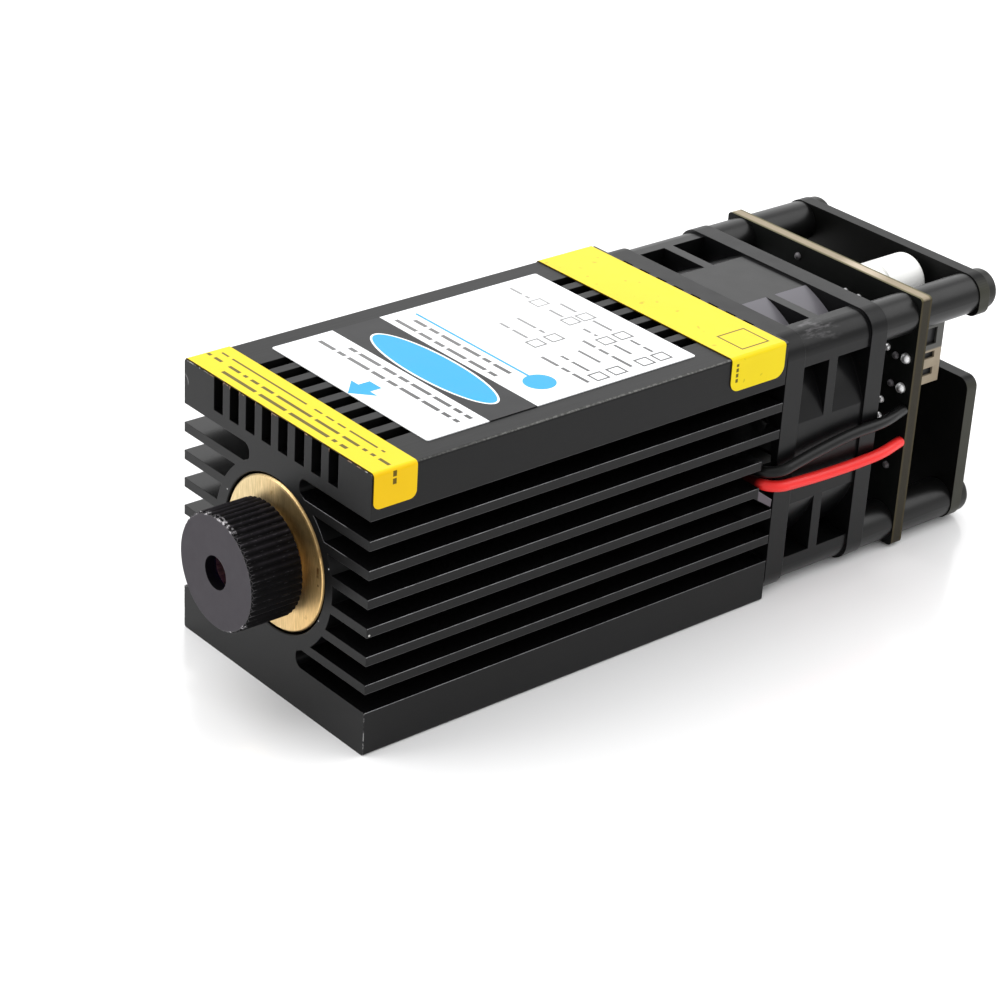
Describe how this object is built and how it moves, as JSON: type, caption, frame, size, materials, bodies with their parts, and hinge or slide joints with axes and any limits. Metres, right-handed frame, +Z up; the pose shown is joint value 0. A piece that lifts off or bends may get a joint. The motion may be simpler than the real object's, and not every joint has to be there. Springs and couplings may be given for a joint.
{
  "type": "laser diode module",
  "caption": "Finned square heat sink with a focusing barrel in front, a square cooling fan and an open driver board stack behind.",
  "frame": {"origin": "centre of the heat sink's flat underside", "axes": "+X to the right seen from the front, the side the leads run along; +Y to the rear, from the focusing knob to the rear plate; +Z up from the underside to the sticker"},
  "size_m": [0.032, 0.094, 0.0306],
  "materials": {
    "black_anodised": "satin",
    "brass": "satin",
    "dark_metal": "satin",
    "steel": "satin",
    "black_steel": "satin",
    "glass": "gloss",
    "yellow_film": "gloss",
    "white_film": "gloss",
    "black_plastic": "satin",
    "magnet": "matte",
    "copper": "satin",
    "bronze": "satin",
    "green_board": "satin",
    "cream_plastic": "satin",
    "can": "satin",
    "ferrite": "matte",
    "solder": "gloss",
    "red_sleeve": "satin",
    "black_sleeve": "satin"
  },
  "bodies": {
    "module": {"heat_sink": "black_anodised", "laser_barrel": "brass", "retaining_plug": "brass", "laser_diode": "steel", "pin_sleeves": "black_sleeve", "grub_screws": "black_steel", "lens_spring": "steel", "front_tape": "yellow_film", "rear_tape": "yellow_film", "label": "white_film", "fan_washers": "black_plastic", "fan_frame": "black_plastic", "fan_bearing": "bronze", "fan_stator": "copper", "fan_board": "green_board", "fan_leads": "black_sleeve", "short_spacers": "black_plastic", "driver_board": "green_board", "long_spacers": "black_plastic", "rear_plate": "black_plastic", "long_screws": "black_steel", "capacitor": "can", "power_socket": "cream_plastic", "socket_pins": "solder", "inductor": "ferrite", "driver_chip": "black_plastic", "rectifier": "black_plastic", "chip_resistors": "ferrite", "solder_joints": "solder", "red_lead": "red_sleeve", "black_lead": "black_sleeve"},
    "fan_wheel": {"fan_rotor": "black_plastic", "rotor_magnet": "magnet", "fan_shaft": "steel"},
    "focus_carriage": {"lens_cell": "brass", "lens": "glass"},
    "focus_ring": {"focus_knob": "dark_metal"}
  },
  "joints": [
    {"name": "fan_spin", "type": "hinge", "parent": "module", "child": "fan_wheel", "pos_m": [0, 0.03485, 0.01525], "axis": [0, 1, 0], "continuous": true},
    {"name": "focus_travel", "type": "slide", "parent": "module", "child": "focus_carriage", "axis": [0, -1, 0], "range_m": [-0.0005, 0.002], "deforming": ["lens_spring"]},
    {"name": "focus_turn", "type": "hinge", "parent": "focus_carriage", "child": "focus_ring", "pos_m": [0.0002, -0.02787, 0.01555], "axis": [0, -1, 0], "range_deg": [-360, 1440]}
  ],
  "couplings": [
    {"joint": "focus_turn", "follows": "focus_travel", "rad_per_m": 12566}
  ]
}
